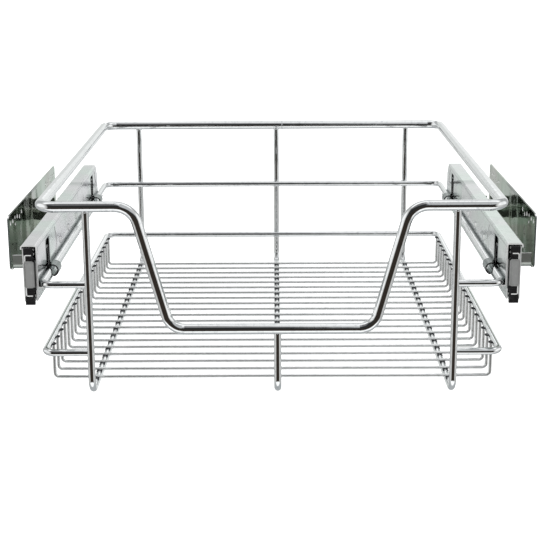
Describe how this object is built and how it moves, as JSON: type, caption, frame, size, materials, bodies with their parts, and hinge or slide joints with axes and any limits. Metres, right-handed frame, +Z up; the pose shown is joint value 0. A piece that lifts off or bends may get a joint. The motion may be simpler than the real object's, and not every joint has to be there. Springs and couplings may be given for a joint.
{
  "type": "pull-out cabinet basket",
  "caption": "Wire basket with a dipped front rim that pulls out of a kitchen cabinet on a pair of ball slides with screw-on side brackets.",
  "frame": {"origin": "middle of the overall box on the plane of the wire feet", "axes": "+Z up, +X to the basket's right as seen from the front, +Y to the back of the cabinet; the basket pulls out towards -Y"},
  "size_m": [0.464, 0.436, 0.161],
  "materials": {
    "chrome_wire": "bright chrome plate on drawn wire",
    "carrier_sheet": "bright zinc plate on pressed sheet",
    "rail_steel": "bright zinc plate on rolled steel",
    "bracket_sheet": "polished zinc plate on folded sheet",
    "rivet_steel": "bare bright steel",
    "ball_steel": "polished hard steel",
    "cage_plastic": "smooth black plastic",
    "black_plastic": "moulded black plastic",
    "grey_plastic": "moulded grey plastic"
  },
  "bodies": {
    "cabinet_side": {"left_bracket": "bracket_sheet", "left_bracket_rivets": "rivet_steel", "left_outer_rail": "rail_steel", "left_rear_block": "black_plastic", "right_bracket": "bracket_sheet", "right_bracket_rivets": "rivet_steel", "right_outer_rail": "rail_steel", "right_rear_block": "black_plastic"},
    "basket": {"top_rim": "chrome_wire", "middle_rail": "chrome_wire", "tray_rail": "chrome_wire", "left_hoop": "chrome_wire", "centre_hoop": "chrome_wire", "right_hoop": "chrome_wire", "tray_wires": "chrome_wire", "left_carrier": "carrier_sheet", "left_carrier_rivets": "rivet_steel", "left_inner_rail": "rail_steel", "left_front_cap": "grey_plastic", "left_cap_frame": "black_plastic", "right_carrier": "carrier_sheet", "right_carrier_rivets": "rivet_steel", "right_inner_rail": "rail_steel", "right_front_cap": "grey_plastic", "right_cap_frame": "black_plastic"},
    "left_member": {"left_slide_rail": "rail_steel", "left_front_stop": "black_plastic"},
    "left_inner_ball_row": {"left_inner_cage": "cage_plastic", "left_inner_balls": "ball_steel"},
    "left_outer_ball_row": {"left_outer_cage": "cage_plastic", "left_outer_balls": "ball_steel"},
    "right_member": {"right_slide_rail": "rail_steel", "right_front_stop": "black_plastic"},
    "right_inner_ball_row": {"right_inner_cage": "cage_plastic", "right_inner_balls": "ball_steel"},
    "right_outer_ball_row": {"right_outer_cage": "cage_plastic", "right_outer_balls": "ball_steel"}
  },
  "joints": [
    {"name": "basket_slide", "type": "slide", "parent": "cabinet_side", "child": "basket", "axis": [0, -1, 0], "range_m": [0, 0.33]},
    {"name": "left_member_slide", "type": "slide", "parent": "cabinet_side", "child": "left_member", "axis": [0, -1, 0], "range_m": [0, 0.165]},
    {"name": "left_inner_ball_slide", "type": "slide", "parent": "cabinet_side", "child": "left_inner_ball_row", "axis": [0, -1, 0], "range_m": [0, 0.2475]},
    {"name": "left_outer_ball_slide", "type": "slide", "parent": "cabinet_side", "child": "left_outer_ball_row", "axis": [0, -1, 0], "range_m": [0, 0.0825]},
    {"name": "right_member_slide", "type": "slide", "parent": "cabinet_side", "child": "right_member", "axis": [0, -1, 0], "range_m": [0, 0.165]},
    {"name": "right_inner_ball_slide", "type": "slide", "parent": "cabinet_side", "child": "right_inner_ball_row", "axis": [0, -1, 0], "range_m": [0, 0.2475]},
    {"name": "right_outer_ball_slide", "type": "slide", "parent": "cabinet_side", "child": "right_outer_ball_row", "axis": [0, -1, 0], "range_m": [0, 0.0825]}
  ],
  "couplings": [
    {"joint": "left_member_slide", "follows": "basket_slide", "ratio": 0.5},
    {"joint": "left_inner_ball_slide", "follows": "basket_slide", "ratio": 0.75},
    {"joint": "left_outer_ball_slide", "follows": "basket_slide", "ratio": 0.25},
    {"joint": "right_member_slide", "follows": "basket_slide", "ratio": 0.5},
    {"joint": "right_inner_ball_slide", "follows": "basket_slide", "ratio": 0.75},
    {"joint": "right_outer_ball_slide", "follows": "basket_slide", "ratio": 0.25}
  ]
}
